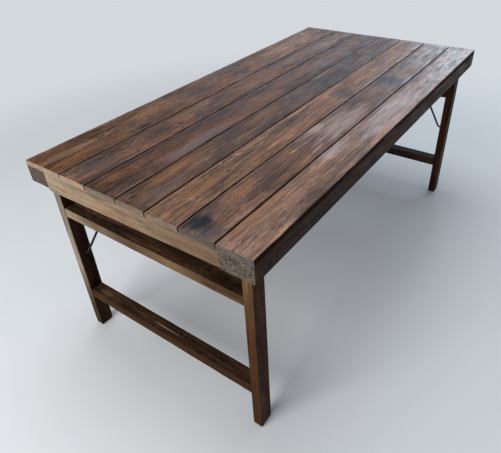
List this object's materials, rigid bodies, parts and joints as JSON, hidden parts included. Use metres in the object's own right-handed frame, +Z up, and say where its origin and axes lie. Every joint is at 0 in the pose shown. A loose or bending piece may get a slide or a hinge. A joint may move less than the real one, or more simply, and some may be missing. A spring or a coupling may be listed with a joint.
{
  "type": "folding trestle table",
  "caption": "Old plank-topped wooden trestle table with leg frames that fold under the top on iron pins, braced by bent iron stay rods.",
  "frame": {"origin": "on the floor under the middle of the table top", "axes": "+X to the right side with the wider rail, +Y along the length from the near end to the far end, +Z up"},
  "size_m": [0.9, 1.77, 0.764],
  "materials": {
    "plank_wood": "worn, waxed",
    "side_rail_wood": "worn, waxed",
    "end_rail_wood": "bare, worn",
    "batten_wood": "rough sawn",
    "leg_wood": "worn, waxed",
    "stretcher_wood": "worn, waxed",
    "black_iron": "blackened"
  },
  "bodies": {
    "tabletop": {"side_rail_left": "side_rail_wood", "side_rail_right": "side_rail_wood", "end_rail_near": "end_rail_wood", "end_rail_far": "end_rail_wood", "batten_near": "batten_wood", "batten_middle": "batten_wood", "batten_far": "batten_wood", "plank_1": "plank_wood", "plank_2": "plank_wood", "plank_3": "plank_wood", "plank_4": "plank_wood", "plank_5": "plank_wood", "plank_6": "plank_wood", "plank_7": "plank_wood", "pivot_pin_near_left": "black_iron", "pivot_pin_near_right": "black_iron", "pivot_pin_far_left": "black_iron", "pivot_pin_far_right": "black_iron", "pivot_washers": "black_iron", "stay_eye_near_left": "black_iron", "stay_eye_near_right": "black_iron", "stay_eye_far_left": "black_iron", "stay_eye_far_right": "black_iron"},
    "leg_frame_near": {"leg_near_left": "leg_wood", "leg_near_right": "leg_wood", "lower_stretcher_near": "stretcher_wood", "upper_stretcher_near": "stretcher_wood"},
    "leg_frame_far": {"leg_far_left": "leg_wood", "leg_far_right": "leg_wood", "lower_stretcher_far": "stretcher_wood", "upper_stretcher_far": "stretcher_wood"},
    "stay_near_left": {"stay_rod_near_left": "black_iron"},
    "stay_near_right": {"stay_rod_near_right": "black_iron"},
    "stay_far_left": {"stay_rod_far_left": "black_iron"},
    "stay_far_right": {"stay_rod_far_right": "black_iron"}
  },
  "joints": [
    {"name": "near_leg_fold", "type": "hinge", "parent": "tabletop", "child": "leg_frame_near", "pos_m": [0, -0.8245, 0.71], "axis": [1, 0, 0], "range_deg": [0, 85]},
    {"name": "far_leg_fold", "type": "hinge", "parent": "tabletop", "child": "leg_frame_far", "pos_m": [0, 0.8245, 0.71], "axis": [-1, 0, 0], "range_deg": [0, 85]},
    {"name": "near_left_stay_swing", "type": "hinge", "parent": "leg_frame_near", "child": "stay_near_left", "pos_m": [-0.379, -0.8245, 0.374], "axis": [-1, 0, 0], "range_deg": [0, 131.32]},
    {"name": "near_right_stay_swing", "type": "hinge", "parent": "leg_frame_near", "child": "stay_near_right", "pos_m": [0.379, -0.8245, 0.374], "axis": [-1, 0, 0], "range_deg": [0, 131.32]},
    {"name": "far_left_stay_swing", "type": "hinge", "parent": "leg_frame_far", "child": "stay_far_left", "pos_m": [-0.379, 0.8245, 0.374], "axis": [1, 0, 0], "range_deg": [0, 131.32]},
    {"name": "far_right_stay_swing", "type": "hinge", "parent": "leg_frame_far", "child": "stay_far_right", "pos_m": [0.379, 0.8245, 0.374], "axis": [1, 0, 0], "range_deg": [0, 131.32]}
  ],
  "couplings": [
    {"joint": "near_left_stay_swing", "follows": "near_leg_fold", "ratio": 1.545},
    {"joint": "near_right_stay_swing", "follows": "near_leg_fold", "ratio": 1.545},
    {"joint": "far_left_stay_swing", "follows": "far_leg_fold", "ratio": 1.545},
    {"joint": "far_right_stay_swing", "follows": "far_leg_fold", "ratio": 1.545}
  ]
}
